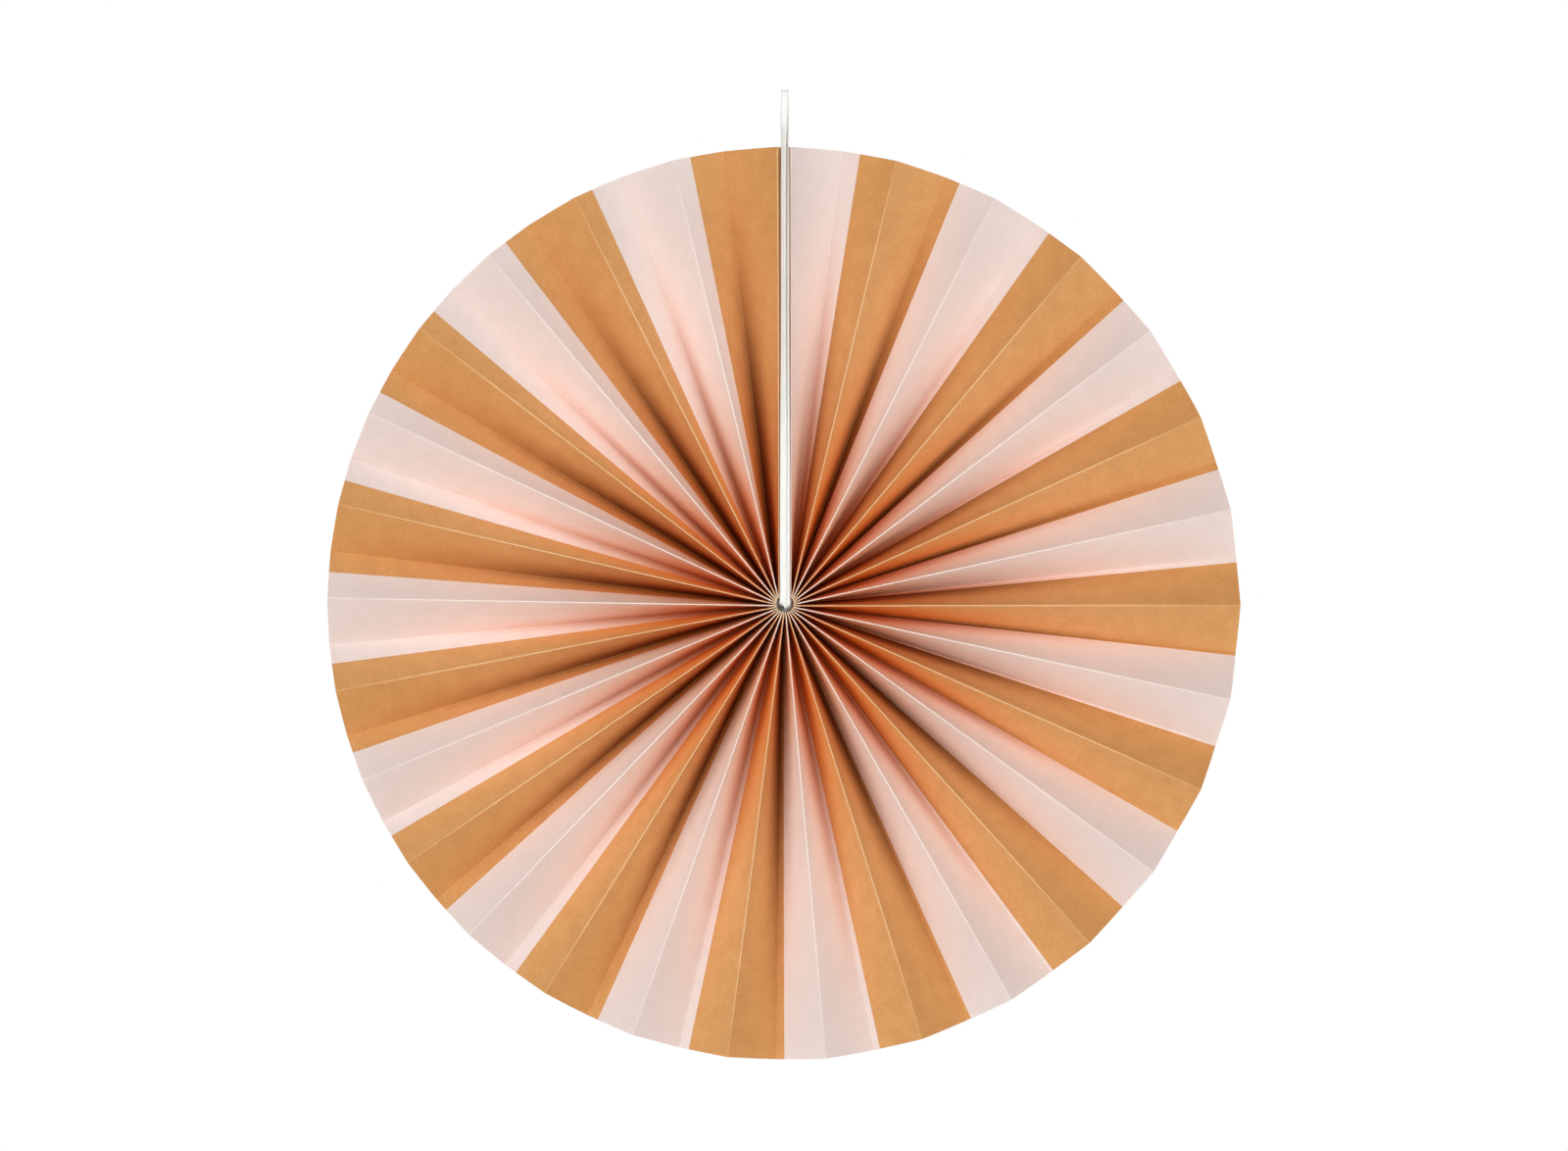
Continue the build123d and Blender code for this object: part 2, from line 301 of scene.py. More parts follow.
def grid_of(columns, rows, locate, uv):
    """A bmesh grid whose every point is moved to where locate says, with a UV map from uv."""
    bm = bmesh.new()
    bmesh.ops.create_grid(bm, x_segments=columns - 1, y_segments=rows - 1, size=1)
    spots = {
        vert: (round((vert.co.x + 1) / 2 * (columns - 1)), round((vert.co.y + 1) / 2 * (rows - 1)))
        for vert in bm.verts
    }
    layer = bm.loops.layers.uv.new("UVMap")
    for face in bm.faces:
        face.smooth = True
        for loop in face.loops:
            loop[layer].uv = uv(*spots[loop.vert])
    for vert, spot in spots.items():
        vert.co = locate(*spot)
    return bm


def swept(outline, stations, closed=False):
    """A bmesh tube: the outline's points (across, up) carried along the stations (origin, across, up)."""
    corners = len(outline)
    ring = stations + stations[:1] if closed else stations
    distances = [0.0]
    for (start, *_), (end, *_) in zip(ring, ring[1:]):
        distances.append(distances[-1] + (end - start).length)

    def locate(column, row):
        origin, across, up = ring[row]
        x, y = outline[column % corners]
        return origin + across * x + up * y

    def uv(column, row):
        return column / corners, distances[row]

    bm = grid_of(corners + 1, len(ring), locate, uv)
    bmesh.ops.remove_doubles(bm, verts=bm.verts, dist=1e-7)
    if not closed:
        edges = [edge for edge in bm.edges if edge.is_boundary]
        bmesh.ops.holes_fill(bm, edges=edges, sides=0)
    bmesh.ops.recalc_face_normals(bm, faces=bm.faces)
    return bm


def add_into(bm, other):
    """Adds another bmesh's faces to the first one and frees it."""
    mesh = bpy.data.meshes.new("joined")
    other.to_mesh(mesh)
    other.free()
    bm.from_mesh(mesh)
    bpy.data.meshes.remove(mesh)


def piece_from(bm, name, *materials):
    """A new object at the origin from that bmesh."""
    mesh = bpy.data.meshes.new(name)
    bm.to_mesh(mesh)
    bm.free()
    for material in materials:
        mesh.materials.append(material)
    piece = bpy.data.objects.new(name, mesh)
    bpy.context.scene.collection.objects.link(piece)
    return piece


# The ribbon's shape


def ribbon_route(ribbon):
    """The ribbon's control points, from the knot through the hub, up over the hook and back."""
    hub = FoldPlan.hub
    # Heights are above the hub here, and above the hook further down.
    left = [
        (-0.00110, 0.023758, -0.0004),
        (-0.00145, 0.0040, -0.0006),
        (-0.00115, -0.0023, -0.0008),
        (-0.00055, -0.00225, 0.0040),
        (-0.00070, -0.00235, 0.0140),
        (-0.00075, -0.0022, 0.0450),
        (-0.00075, -0.0017, 0.1600),
    ]
    # The right strand mirrors the left, a little deeper in front of the disc and lower in the hole.
    right = [(-x, y + (0.00035 if y < 0 else 0), z - (0.0009 if z < 0 else 0)) for x, y, z in left]
    over_hook = [
        (-0.00075, -0.00125, -ribbon.loop_closing),
        (-0.00010, -0.00165, -0.0021),
        (0, -0.0017, 0.0013),
        (0, 0.0017, 0.0013),
        (0.00010, 0.00165, -0.0021),
        (0.00075, 0.0009, -ribbon.loop_closing),
    ]
    route = [Vector((x, y, hub.z + z)) for x, y, z in left]
    route += [Vector(point) for point in over_hook]
    route += [Vector((x, y, hub.z + z)) for x, y, z in reversed(right)]
    return route


def smooth_line(name, route):
    """The points of a NURBS spline through that route."""
    curve = bpy.data.curves.new(name, "CURVE")
    curve.dimensions = "3D"
    curve.resolution_u = 20
    spline = curve.splines.new("NURBS")
    spline.points.add(len(route) - 1)
    for point, place in zip(spline.points, route):
        point.co = (*place, 1)
    spline.order_u = 3
    spline.use_endpoint_u = True
    holder = bpy.data.objects.new(name, curve)
    mesh = bpy.data.meshes.new_from_object(holder)
    line = []
    for vert in mesh.vertices:
        if not line or (vert.co - line[-1]).length > 1e-6:
            line.append(vert.co.copy())
    bpy.data.objects.remove(holder)
    bpy.data.curves.remove(curve)
    bpy.data.meshes.remove(mesh)
    return line


def tangents(line):
    ends = [line[0], *line, line[-1]]
    return [(after - before).normalized() for before, after in zip(ends, ends[2:])]


def smooth_step(value):
    value = min(max(value, 0), 1)
    return value * value * (3 - 2 * value)


def strand_turn_at(ribbon, point):
    """How far a strand has turned about its own length at a height: flat at the hub and over the hook."""
    foot = FoldPlan.hub.z + 0.006
    closing = -ribbon.loop_closing
    if point.z < closing:
        return ribbon.strand_turn * smooth_step((point.z - foot) / ribbon.turning_length)
    return ribbon.strand_turn * smooth_step(point.z / closing)


def ribbon_stations(ribbon, line):
    """The ribbon's cross-sections along its line: where, across its width, and through its thickness."""
    leaning_height = 0.005
    stations = []
    for point, along in zip(line, tangents(line)):
        turn = strand_turn_at(ribbon, point)
        # Inside the hub's hole the two strands lean against each other.
        lean = ribbon.hole_lean * (1 - smooth_step((point.z - FoldPlan.hub.z) / leaning_height))
        across = Vector((cos(turn), -sin(turn), sin(lean) * (-1 if point.x < 0 else 1)))
        across = (across - along * across.dot(along)).normalized()
        stations.append((point, across, along.cross(across).normalized()))
    return stations


def ribbon_outline(ribbon, beads=6):
    """The flat ribbon's cross-section: rounded selvages and a slightly thinner middle."""
    half, edge = ribbon.ribbon_width / 2, ribbon.ribbon_thickness / 2
    rounding, thinning = 0.55, 0.86
    top = []
    for bead in range(beads + 1):
        x = half * (1 - 2 * bead / beads)
        y = edge if 0 < bead < beads else edge * rounding
        top.append((x, y * (thinning if 1 < bead < beads - 1 else 1)))
    return top + [(x, -y) for x, y in reversed(top)]


def knot_stations(ribbon, middle, steps=132):
    """The cross-sections of the knot's doubled ribbon, along three lobes of which one stands up."""
    scale = (ribbon.knot_radius - ribbon.rope_radius) / 3
    crossing = ribbon.rope_radius * ribbon.knot_crush
    line = []
    for step in range(steps):
        turn = 2 * pi * step / steps
        x = sin(turn) + 2 * sin(2 * turn)
        z = 2 * cos(2 * turn) - cos(turn)
        line.append(middle + Vector((x * scale, -sin(3 * turn) * crossing, z * scale)))
    stations = []
    for step, point in enumerate(line):
        along = (line[(step + 1) % steps] - line[step - 1]).normalized()
        up = (INWARD - along * along.dot(INWARD)).normalized()
        stations.append((point, along.cross(up), up))
    return stations


def rope_outline(ribbon, facets=28):
    """The doubled ribbon's cross-section in the knot: wider than thick, and dented by its folds."""
    spread = 1.12
    outline = []
    for facet in range(facets):
        bearing = 2 * pi * facet / facets
        dents = 1 + 0.09 * cos(5 * bearing + 0.6) + 0.05 * cos(9 * bearing)
        reach = ribbon.rope_radius * dents
        outline.append((reach * spread * cos(bearing), reach * ribbon.knot_crush * sin(bearing)))
    return outline


def tail_stations(ribbon, side, middle, steps=24):
    """The cross-sections of a cut end that hangs from the knot, leans to one side and twists a little."""
    reach = ribbon.knot_radius + ribbon.tail_length
    lean = ribbon.tail_lean * side
    twist = radians(10) * side
    bow, curl = 0.0004 * side, 0.35 * side
    along = Vector((sin(lean), 0, -cos(lean)))
    stations = []
    for step in range(steps + 1):
        part = step / steps
        point = middle + along * (reach * part) + INWARD * (bow * sin(pi * part))
        turn = lean + twist * part
        across = Vector((cos(turn), curl * sin(pi * part), sin(turn))).normalized()
        across = (across - along * across.dot(along)).normalized()
        stations.append((point, across, along.cross(across)))
    return stations


# Finishes


def scaled(shade, *factors):
    """A colour with its channels made stronger or weaker, by one factor or by one each."""
    if len(factors) == 1:
        factors *= 3
    return tuple(min(part * factor, 1) for part, factor in zip(shade, factors))


class Finish:
    """One material's nodes, with short names for what is used over and over."""

    def __init__(self, name):
        self.material = bpy.data.materials.new(name)
        self.material.use_nodes = True
        self.tree = self.material.node_tree
        self.shader = self.tree.nodes["Principled BSDF"]
        self.tree.nodes["Material Output"].target = "ALL"

    def put(self, socket, value):
        if isinstance(value, bpy.types.NodeSocket):
            self.tree.links.new(value, socket)
        elif hasattr(value, "__len__") and len(value) == 3 and socket.type == "RGBA":
            socket.default_value = (*value, 1)
        else:
            socket.default_value = value

    def node(self, kind, inputs=None, **settings):
        made = self.tree.nodes.new(kind)
        for key, value in settings.items():
            setattr(made, key, value)
        for key, value in (inputs or {}).items():
            self.put(made.inputs[key], value)
        return made

    def math(self, operation, *values):
        return self.node("ShaderNodeMath", dict(enumerate(values)), operation=operation).outputs[0]

    def product(self, *values):
        return reduce(partial(self.math, "MULTIPLY"), values)

    def vector(self, operation, *values):
        made = self.node("ShaderNodeVectorMath", dict(enumerate(values)), operation=operation)
        return made.outputs["Value" if operation == "LENGTH" else "Vector"]

    def ramp(self, value, low, high, to_low=0.0, to_high=1.0):
        """A smooth step of value from low to high."""
        inputs = {"Value": value, "From Min": low, "From Max": high, "To Min": to_low, "To Max": to_high}
        return self.node("ShaderNodeMapRange", inputs, interpolation_type="SMOOTHSTEP").outputs["Result"]

    def fade(self, value, low, high, full=1.0):
        """A smooth step down to nothing as value goes from low to high."""
        return self.ramp(value, low, high, full, 0.0)

    def mix(self, factor, first, second, blend="MIX"):
        made = self.node("ShaderNodeMix", data_type="RGBA", blend_type=blend)
        # The node's first factor and its two colours: its inputs share their names between data types.
        for index, value in zip((0, 6, 7), (factor, first, second)):
            self.put(made.inputs[index], value)
        return made.outputs[2]

    def tint(self, factor, base, by):
        """The base, multiplied by a colour as far as factor says."""
        return self.mix(factor, base, by, "MULTIPLY")

    def noise(self, coordinates, scale, detail, roughness):
        """Noise from 0 to 1. A scale of three numbers stretches it."""
        if isinstance(scale, tuple):
            mapping = self.node("ShaderNodeMapping", {"Vector": coordinates, "Scale": scale})
            coordinates, scale = mapping.outputs["Vector"], 1.0
        inputs = {"Vector": coordinates, "Scale": scale, "Detail": detail, "Roughness": roughness}
        return self.node("ShaderNodeTexNoise", inputs).outputs["Fac"]

    def bump(self, height, distance, strength, normal=None):
        inputs = {"Height": height, "Distance": distance, "Strength": strength}
        if normal is not None:
            inputs["Normal"] = normal
        return self.node("ShaderNodeBump", inputs).outputs["Normal"]

    def place(self):
        """Where a point is in the piece's own space."""
        return self.node("ShaderNodeTexCoord").outputs["Object"]

    def strip(self):
        """The piece's own map: the map itself, then its two directions."""
        uv = self.node("ShaderNodeUVMap", uv_map="UVMap").outputs["UV"]
        parts = self.node("ShaderNodeSeparateXYZ", {"Vector": uv}).outputs
        return uv, parts["X"], parts["Y"]

    def set(self, **values):
        """Sets the shader's sockets, named in lower case with underscores."""
        for key, value in values.items():
            name = key.replace("_", " ").title().replace("Ior", "IOR")
            self.put(self.shader.inputs[name], value)
        return self.material


class CardFinish(Finish):
    """A finish of the strip of card, which knows how far along and up it a point is, in pleats."""

    def __init__(self, name, sheet):
        super().__init__(name)
        self.sheet = sheet
        self.uv, self.along, self.up = self.strip()

    @cached_property
    def dark(self):
        """1 on the caramel stripes and 0 on the pink ones. The last stripe runs on over the end flap."""
        sheet = self.sheet
        along = self.math("MINIMUM", self.along, 2 * sheet.pleats + 0.25)
        first_count = 0.5 - sheet.first_stripe / sheet.stripe_width
        count = self.math("MULTIPLY_ADD", along, sheet.pleat_depth / sheet.stripe_width, first_count)
        return self.ramp(self.math("PINGPONG", count, 1.0), 0.4975, 0.5025)

    @cached_property
    def from_crest(self):
        """Crests lie at even counts along the strip, and troughs at odd ones."""
        return self.math("PINGPONG", self.along, 1.0)

    @cached_property
    def from_trough(self):
        return self.math("SUBTRACT", 1.0, self.from_crest)

    @cached_property
    def anticlockwise(self):
        """1 on the panels that face anticlockwise, which come after each trough, and 0 on the others."""
        return self.math("GREATER_THAN", self.math("FRACT", self.product(self.along, 0.5)), 0.5)

    @cached_property
    def flaking(self):
        return self.noise(self.uv, (60, 9, 1), 3.0, 0.7)

    def by_stripe(self, on_pink, on_caramel):
        return self.mix(self.dark, on_pink, on_caramel)


def mottled_ink(card, speckle):
    """The two inks, each a little uneven, as print on soft card is."""
    pink, caramel = card.sheet.pink, card.sheet.caramel
    cloud = card.noise(card.uv, 3.0, 3.0, 0.6)
    grain = card.math("ADD", card.product(cloud, 0.45), card.product(speckle, 0.55))
    dusty, pale = scaled(pink, 0.975, 0.96, 0.955), scaled(pink, 1.02, 1.03, 1.035)
    deep, light = scaled(caramel, 0.90, 0.87, 0.82), scaled(caramel, 1.07, 1.11, 1.18)
    return card.by_stripe(
        card.mix(card.ramp(grain, 0.3, 0.7), dusty, pale),
        card.mix(card.ramp(grain, 0.25, 0.75), deep, light),
    )


def shade_painted_to_hub(card, ink):
    """Painted shade and painted bounced light: the stripes grow darker, richer and ruddier towards the hub
    and deeper in the folds.
    """
    near_hub = card.by_stripe(*(card.fade(card.up, 0.4, reach) for reach in (4.2, 5.0)))
    in_fold = card.math("MULTIPLY_ADD", card.ramp(card.from_crest, 0.0, 0.75), 0.4, 0.6)
    hub_shade = card.by_stripe(card.sheet.hub_shaded_pink, card.sheet.hub_shaded_caramel)
    # Painted shade: at the hub the panels that face anticlockwise are darker, as they are turned from the
    # light.
    anticlockwise_shade = card.by_stripe((0.86, 0.53, 0.26), (0.60, 0.33, 0.10))
    hub_shade = card.tint(card.anticlockwise, hub_shade, anticlockwise_shade)
    ink = card.mix(card.product(near_hub, in_fold), ink, hub_shade)
    # Painted bounced light: a ruddy warmth towards the hub, as light reddens between the folds.
    bounce_tint = card.by_stripe((1.0, 0.60, 0.32), (0.95, 0.80, 0.60))
    return card.tint(card.fade(card.up, 0.5, 2.6, 0.9), ink, bounce_tint)


def shaded_panels(card, ink):
    """Painted shade: panels that face anticlockwise are darker. Both stripes are also a little darker
    towards the rim.
    """
    # Painted shade on the panels that face anticlockwise.
    shady = card.by_stripe((0.96, 0.935, 0.92), (0.93, 0.88, 0.82))
    ink = card.tint(card.anticlockwise, ink, shady)
    # Both stripes are made a little darker towards the rim, the pink a little less red.
    darker_rim = card.by_stripe((0.86, 0.88, 0.89), (0.88, 0.89, 0.84))
    return card.tint(card.ramp(card.up, 4.6, 7.6), ink, darker_rim)


def painted_fold_shade(card, ink):
    """Painted shade down in the folds: each trough is darkened, more widely on the panel that faces
    anticlockwise, and less towards the rim.
    """
    clockwise_reach = card.fade(card.from_trough, 0.0, 0.24, 0.45)
    other_reach = card.by_stripe(*(card.fade(card.from_trough, 0.0, width) for width in (0.44, 0.74)))
    reach = card.mix(card.anticlockwise, clockwise_reach, other_reach)
    fading = card.by_stripe(*(card.fade(card.up, 2.0, far) for far in (7.0, 7.8)))
    # Painted shade colour for the troughs.
    trough_shade_colour = card.by_stripe((0.84, 0.52, 0.36), (0.26, 0.20, 0.11))
    return card.tint(card.product(reach, fading, card.sheet.fold_shade_strength), ink, trough_shade_colour)


def crest_cracks(card):
    """Where the print has cracked off the crests: ragged lines that fade towards the rim."""
    sheet = card.sheet
    ragged = card.math("MULTIPLY_ADD", card.flaking, 0.014, 0.006)
    cracks = card.fade(card.from_crest, card.product(ragged, 0.6), ragged)
    height = (sheet.disc_diameter / 2 - sheet.hub_radius) / sheet.pleat_depth
    worn = card.ramp(card.up, height * 0.70, height * 0.985, 1.0, 0.22)
    # Nothing shelters the two crests beside the seam, so they are worn right up to the rim.
    from_middle = card.math("ABSOLUTE", card.math("SUBTRACT", card.along, sheet.pleats))
    at_seam = card.ramp(from_middle, sheet.pleats - 0.1, sheet.pleats - 0.05)
    worn = card.math("MAXIMUM", worn, at_seam)
    kept = card.ramp(card.flaking, 0.30, 0.46, 0.55, 1.0)
    on_stripe = card.ramp(card.dark, 0.0, 1.0, 1.0, 0.72)
    return card.product(cracks, worn, kept, sheet.crease_wear, on_stripe)


def printed_card(sheet):
    """Matt card, printed in pink and caramel stripes, with the print cracked along the crests, and painted
    shade in the folds and towards the hub.
    """
    card = CardFinish("printed_card", sheet)
    speckle = card.noise(card.uv, (22, 15, 1), 4.0, 0.65)
    ink = painted_fold_shade(card, shaded_panels(card, shade_painted_to_hub(card, mottled_ink(card, speckle))))

    # Along each trough: a pressed crease in the relief, and painted shade in the colour.
    crease_relief_and_shade = card.fade(card.from_trough, 0.004, 0.016)
    crease_relief_and_shade = card.product(crease_relief_and_shade, card.ramp(card.flaking, 0.35, 0.6, 0.15, 0.55))
    ink = card.tint(crease_relief_and_shade, ink, (0.86, 0.74, 0.66))
    cracks = crest_cracks(card)
    ink = card.mix(cracks, ink, card.by_stripe((0.96, 0.84, 0.77), (0.93, 0.68, 0.40)))
    # The cut ends crowd round the hole as a worn, beige ring.
    ink = card.mix(card.fade(card.up, 0.02, 0.13, 0.85), ink, (0.90, 0.64, 0.43))

    fibres = card.noise(card.uv, (95, 70, 1), 5.0, 0.6)
    relief = card.bump(fibres, 0.00003, 0.35)
    relief = card.bump(card.math("MAXIMUM", cracks, crease_relief_and_shade), 0.00004, 0.4, relief)
    rough = card.ramp(speckle, 0.25, 0.75, 0.66, 0.80)
    return card.set(base_color=ink, roughness=rough, normal=relief, specular_ior_level=0.12)


def plain_card(sheet):
    """The card's unprinted back and cut edges: white, fibrous, with a hint of the print showing through."""
    card = CardFinish("plain_card", sheet)
    cloud = card.noise(card.uv, 5.0, 4.0, 0.6)
    fibres = card.noise(card.uv, (70, 26, 1), 5.0, 0.65)
    white = card.mix(card.ramp(cloud, 0.3, 0.7), scaled(sheet.plain, 0.95), sheet.plain)
    white = card.mix(card.product(card.dark, 0.045), white, sheet.caramel)
    from_fold = card.math("PINGPONG", card.along, 0.5)
    near_fold = card.fade(from_fold, 0.006, 0.03, 0.25)
    white = card.mix(near_fold, white, scaled(sheet.plain, 0.8))
    # Painted shade and painted bounced light: the cut ends round the hole are tinted brown, as the printed
    # card colours the light down in the hole.
    white = card.mix(card.fade(card.up, 0.01, 0.06, 0.85), white, (0.66, 0.38, 0.14))
    relief = card.bump(fibres, 0.00004, 0.5)
    rough = card.ramp(fibres, 0.25, 0.75, 0.78, 0.92)
    return card.set(base_color=white, roughness=rough, normal=relief, specular_ior_level=0.2)


def satin_weave(ribbon):
    """White satin ribbon: a fine cross rib, lengthwise streaks and tight selvages with small picks."""
    rib_spacing, pick_spacing = 0.00028, 0.0011
    finish = Finish("satin_ribbon")
    uv, around, along = finish.strip()
    ribs = finish.math("SINE", finish.product(along, 2 * pi / rib_spacing))
    streaks = finish.noise(uv, (34, 260, 1), 3.0, 0.6)
    # Both faces of the ribbon share the map: a selvage lies at 0, 0.5 and 1.
    selvage = finish.fade(finish.math("PINGPONG", around, 0.25), 0.02, 0.06)
    picks = finish.ramp(finish.math("SINE", finish.product(along, 2 * pi / pick_spacing)), 0.2, 0.9)
    mark = finish.product(selvage, finish.math("MULTIPLY_ADD", picks, 0.4, 0.2))
    threads = finish.mix(finish.ramp(streaks, 0.3, 0.7), scaled(ribbon.satin, 0.93), ribbon.satin)
    threads = finish.mix(mark, threads, scaled(ribbon.satin, 0.68, 0.66, 0.60))
    relief = finish.bump(ribs, 0.00002, 0.4)
    relief = finish.bump(streaks, 0.00004, 0.5, relief)
    return finish.set(
        base_color=threads,
        roughness=finish.ramp(streaks, 0.3, 0.7, 0.34, 0.46),
        normal=relief,
        specular_ior_level=0.5,
        sheen_weight=0.25,
        sheen_roughness=0.4,
    )


def cotton_thread(sheet):
    """White cotton: strands twisted round the thread's own way about the hub."""
    twists_round_hub, strand_count = 46, 3
    finish = Finish("cotton_thread")
    place = finish.place()
    from_hub = finish.vector("SUBTRACT", place, FoldPlan.hub)
    parts = finish.node("ShaderNodeSeparateXYZ", {"Vector": from_hub}).outputs
    round_hub = finish.math("ARCTAN2", parts["Z"], parts["X"])
    reach = finish.vector("LENGTH", finish.vector("MULTIPLY", from_hub, (1, 0, 1)))
    ring = sheet.hub_radius + sheet.thread_offset
    round_thread = finish.math("ARCTAN2", parts["Y"], finish.math("SUBTRACT", reach, ring))
    slant = finish.product(round_thread, strand_count)
    twist = finish.math("SINE", finish.math("MULTIPLY_ADD", round_hub, twists_round_hub, slant))
    fuzz = finish.noise(place, 4000, 3.0, 0.6)
    strands = finish.mix(finish.ramp(twist, -0.9, 0.4), (0.70, 0.68, 0.62), (0.92, 0.91, 0.87))
    strands = finish.mix(finish.product(fuzz, 0.25), strands, (0.80, 0.79, 0.75))
    relief = finish.bump(twist, 0.00004, 0.7)
    relief = finish.bump(fuzz, 0.00002, 0.5, relief)
    rough = finish.ramp(fuzz, 0.3, 0.7, 0.75, 0.92)
    return finish.set(base_color=strands, roughness=rough, normal=relief, sheen_weight=0.2)


def film_tape():
    """Double-sided tape: an even, slightly yellow film with faint streaks of glue."""
    finish = Finish("adhesive_tape")
    streaks = finish.noise(finish.place(), (900, 900, 120), 3.0, 0.6)
    film = finish.mix(finish.ramp(streaks, 0.3, 0.7), (0.80, 0.78, 0.70), (0.88, 0.86, 0.80))
    relief = finish.bump(streaks, 0.00003, 0.4)
    rough = finish.ramp(streaks, 0.3, 0.7, 0.28, 0.42)
    return finish.set(base_color=film, roughness=rough, normal=relief, specular_ior_level=0.5)


def floor_finish(stage):
    """A pale floor that the camera sees as white, apart from the object's shadow."""
    finish = Finish("pale_floor")
    seen = finish.node("ShaderNodeLightPath").outputs["Is Camera Ray"]
    away = finish.vector("LENGTH", finish.vector("MULTIPLY", finish.place(), (1, 1, 0)))
    glow = finish.product(seen, finish.ramp(away, 0.5, 2.2, 0.4, 1.0))
    return finish.set(
        base_color=stage.floor, roughness=0.9, emission_color=(1, 1, 1), emission_strength=glow
    )


# Operators


class ROSETTE_OT_stage(bpy.types.Operator):
    """Add the camera, the lamps, the white room and the pale floor"""

    bl_idname = "rosette.stage"
    bl_label = "Stage"

    def execute(self, context):
        stage = context.scene.rosette_stage
        self.add_camera(context, stage)
        self.add_lamps(context, stage)
        self.add_room(context, stage)
        self.add_floor(stage)
        return {"FINISHED"}

    def add_camera(self, context, stage):
        """The photograph's eye is a little to the left of the disc and above its hub."""
        hub = FoldPlan.hub
        lens = bpy.data.cameras.new("camera")
        lens.lens = stage.lens
        camera = bpy.data.objects.new("camera", lens)
        middle = Vector((0, hub.y, (CAD_BOX[0].z + CAD_BOX[1].z) / 2))
        camera.location = hub + Vector((-stage.camera_left, -stage.camera_distance, stage.camera_up))
        camera.rotation_euler = (middle - camera.location).to_track_quat("-Z", "Y").to_euler()
        context.scene.collection.objects.link(camera)
        context.scene.camera = camera

    def add_lamps(self, context, stage):
        lamps = (
            # name, level, place from the hub, width and height
            ("left_lamp", stage.side_light * 1.15, (-1.45, -1.55, 0.25), (1.2, 1.8)),
            ("right_lamp", stage.side_light * 0.95, (1.45, -1.55, 0.0), (1.2, 1.8)),
            ("front_lamp", stage.front_light, (0.1, -1.9, 1.25), (1.8, 1.0)),
            ("fill_lamp", stage.fill_light, (-0.1, -5.6, 0.5), (1.6, 1.6)),
            ("back_lamp", stage.back_light, (0.6, 2.0, 1.0), (2.0, 1.6)),
        )
        for name, level, place, (width, height) in lamps:
            lamp = bpy.data.lights.new(name, "AREA")
            lamp.shape = "RECTANGLE"
            lamp.size, lamp.size_y = width, height
            away = Vector(place)
            # A level of 1 gives a white, flat surface that faces the lamp a brightness of 1.
            lamp.energy = level * pi**2 * away.length_squared
            holder = bpy.data.objects.new(name, lamp)
            holder.location = FoldPlan.hub + away
            holder.rotation_euler = (-away).to_track_quat("-Z", "Z").to_euler()
            context.scene.collection.objects.link(holder)

    def add_room(self, context, stage):
        """Light from all round. The camera and glossy surfaces see it as white."""
        world = bpy.data.worlds.new("white_room")
        world.use_nodes = True
        tree = world.node_tree
        tree.nodes.clear()
        path = tree.nodes.new("ShaderNodeLightPath")
        seen = tree.nodes.new("ShaderNodeMath")
        seen.operation = "MAXIMUM"
        tree.links.new(path.outputs["Is Camera Ray"], seen.inputs[0])
        tree.links.new(path.outputs["Is Glossy Ray"], seen.inputs[1])
        room, white = (tree.nodes.new("ShaderNodeBackground") for _ in range(2))
        for background, strength in ((room, stage.room_light), (white, 1.0)):
            background.inputs["Color"].default_value = (1, 1, 1, 1)
            background.inputs["Strength"].default_value = strength
        mixed = tree.nodes.new("ShaderNodeMixShader")
        for index, source in enumerate((seen, room, white)):
            tree.links.new(source.outputs[0], mixed.inputs[index])
        output = tree.nodes.new("ShaderNodeOutputWorld")
        tree.links.new(mixed.outputs[0], output.inputs["Surface"])
        context.scene.world = world

    def add_floor(self, stage):
        bm = bmesh.new()
        bmesh.ops.create_grid(bm, x_segments=1, y_segments=1, size=6)
        bmesh.ops.translate(bm, verts=bm.verts, vec=(0, 0, -stage.floor_drop))
        piece_from(bm, "floor", floor_finish(stage))


class ROSETTE_OT_ribbon(bpy.types.Operator):
    """Add the satin ribbon loop and the knot behind the hub"""

    bl_idname = "rosette.ribbon"
    bl_label = "Ribbon and Knot"

    def execute(self, context):
        ribbon = context.scene.rosette_ribbon
        satin = satin_weave(ribbon)
        knot = self.add_knot(ribbon, satin)
        self.add_loop(ribbon, satin, knot)
        return {"FINISHED"}

    def add_loop(self, ribbon, satin, knot):
        line = smooth_line("ribbon_route", ribbon_route(ribbon))
        loop = piece_from(swept(ribbon_outline(ribbon), ribbon_stations(ribbon, line)), "satin_loop", satin)
        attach(loop, "root")
        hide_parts("hanging_loop")

    def add_knot(self, ribbon, satin):
        """Three crushed turns of doubled ribbon, as an overhand knot shows them, and two cut tails."""
        low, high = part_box("loop_knot")
        middle = Vector((0, (low.y + high.y) / 2, FoldPlan.hub.z))
        bm = swept(rope_outline(ribbon), knot_stations(ribbon, middle), closed=True)
        for side in (-1, 1):
            add_into(bm, swept(ribbon_outline(ribbon), tail_stations(ribbon, side, middle)))
        knot = piece_from(bm, "ribbon_knot", satin)
        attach(knot, "root")
        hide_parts("loop_knot")
        return knot


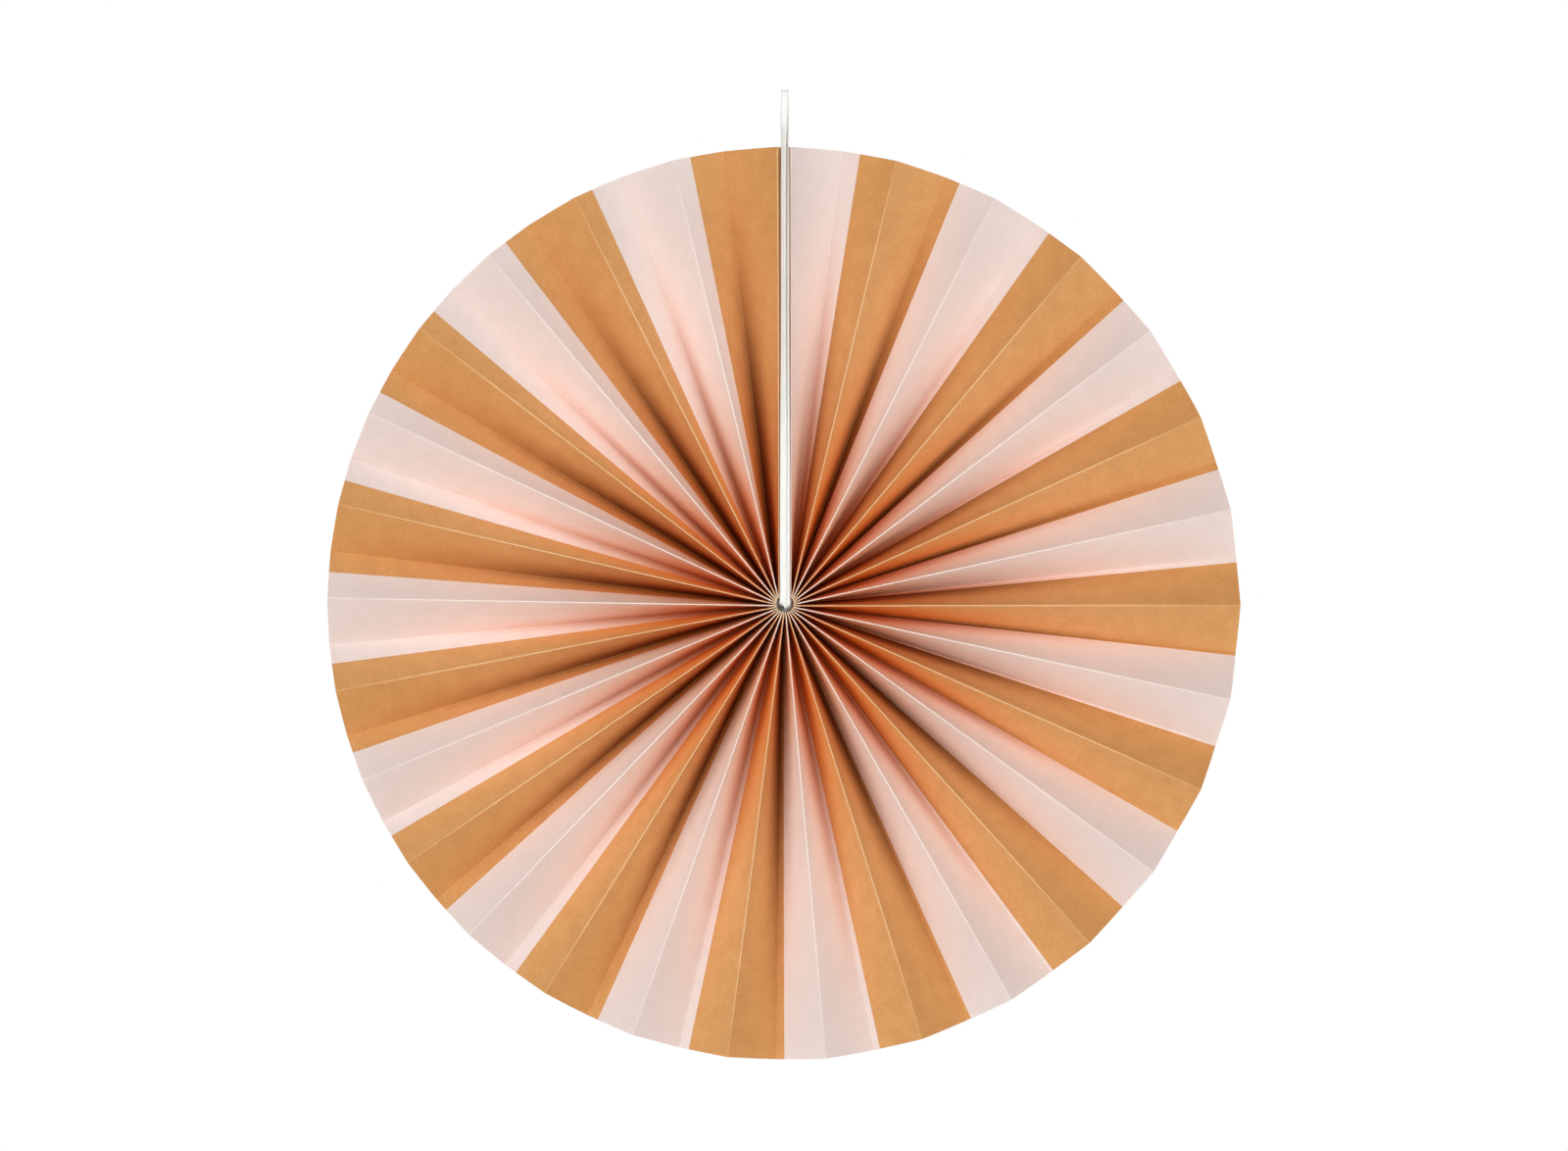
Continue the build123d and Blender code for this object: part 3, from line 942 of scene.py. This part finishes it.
class ROSETTE_OT_pleated_sheet(bpy.types.Operator):
    """Add the printed strip of card, folded into the disc"""

    bl_idname = "rosette.pleated_sheet"
    bl_label = "Pleated Sheet"

    def execute(self, context):
        sheet = context.scene.rosette_sheet
        plan = FoldPlan(sheet)
        columns = plan.columns()
        rows = 40
        places = [place_of_row(row / (rows - 1)) for row in range(rows)]
        pleats_up = (plan.disc_radius - sheet.hub_radius) / sheet.pleat_depth

        def locate(column, row):
            return columns[column][1](places[row])

        def uv(column, row):
            return columns[column][0], places[row] * pleats_up

        bm = grid_of(len(columns), rows, locate, uv)
        for edge in bm.edges:
            edge.smooth = not edge.is_boundary
        piece = piece_from(bm, "folded_card", printed_card(sheet), plain_card(sheet))
        thick = piece.modifiers.new("card_thickness", "SOLIDIFY")
        thick.thickness = sheet.sheet_thickness
        thick.offset = 0
        thick.use_even_offset = True
        thick.use_quality_normals = True
        thick.material_offset = 1
        thick.material_offset_rim = 1
        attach(piece, "root")
        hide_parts("pleated_sheet")
        return {"FINISHED"}


class ROSETTE_OT_seam_tape(bpy.types.Operator):
    """Finish the tape that closes the seam"""

    bl_idname = "rosette.seam_tape"
    bl_label = "Seam Tape"

    def execute(self, context):
        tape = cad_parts["seam_tape"]
        tape.data.materials.clear()
        tape.data.materials.append(film_tape())
        return {"FINISHED"}


class ROSETTE_OT_gathering_thread(bpy.types.Operator):
    """Finish the thread that gathers the folds round the hub"""

    bl_idname = "rosette.gathering_thread"
    bl_label = "Gathering Thread"

    def execute(self, context):
        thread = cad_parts["gathering_thread"]
        thread.data.materials.clear()
        thread.data.materials.append(cotton_thread(context.scene.rosette_sheet))
        return {"FINISHED"}


class ROSETTE_PT_panel(bpy.types.Panel):
    """The rosette's settings and makers"""

    bl_idname = "ROSETTE_PT_panel"
    bl_label = "Paper Fan Rosette"
    bl_space_type = "VIEW_3D"
    bl_region_type = "UI"
    bl_category = "Rosette"

    def draw(self, context):
        for settings, operator in (
            ("rosette_sheet", "rosette.pleated_sheet"),
            ("rosette_ribbon", "rosette.ribbon"),
            ("rosette_stage", "rosette.stage"),
        ):
            box = self.layout.box()
            group = getattr(context.scene, settings)
            for key in group.__annotations__:
                box.prop(group, key)
            box.operator(operator)
        self.layout.operator("rosette.seam_tape")
        self.layout.operator("rosette.gathering_thread")


CLASSES = (
    SheetSettings,
    RibbonSettings,
    StageSettings,
    ROSETTE_OT_stage,
    ROSETTE_OT_ribbon,
    ROSETTE_OT_pleated_sheet,
    ROSETTE_OT_seam_tape,
    ROSETTE_OT_gathering_thread,
    ROSETTE_PT_panel,
)


def register():
    for cls in CLASSES:
        bpy.utils.register_class(cls)
    bpy.types.Scene.rosette_sheet = PointerProperty(type=SheetSettings)
    bpy.types.Scene.rosette_ribbon = PointerProperty(type=RibbonSettings)
    bpy.types.Scene.rosette_stage = PointerProperty(type=StageSettings)


def unregister():
    del bpy.types.Scene.rosette_stage
    del bpy.types.Scene.rosette_ribbon
    del bpy.types.Scene.rosette_sheet
    for cls in reversed(CLASSES):
        bpy.utils.unregister_class(cls)


def main():
    register()
    bpy.context.scene.view_settings.view_transform = "Standard"
    bpy.ops.rosette.stage()
    bpy.ops.rosette.ribbon()
    bpy.ops.rosette.pleated_sheet()
    bpy.ops.rosette.seam_tape()
    bpy.ops.rosette.gathering_thread()


if __name__ == "__main__":
    main()
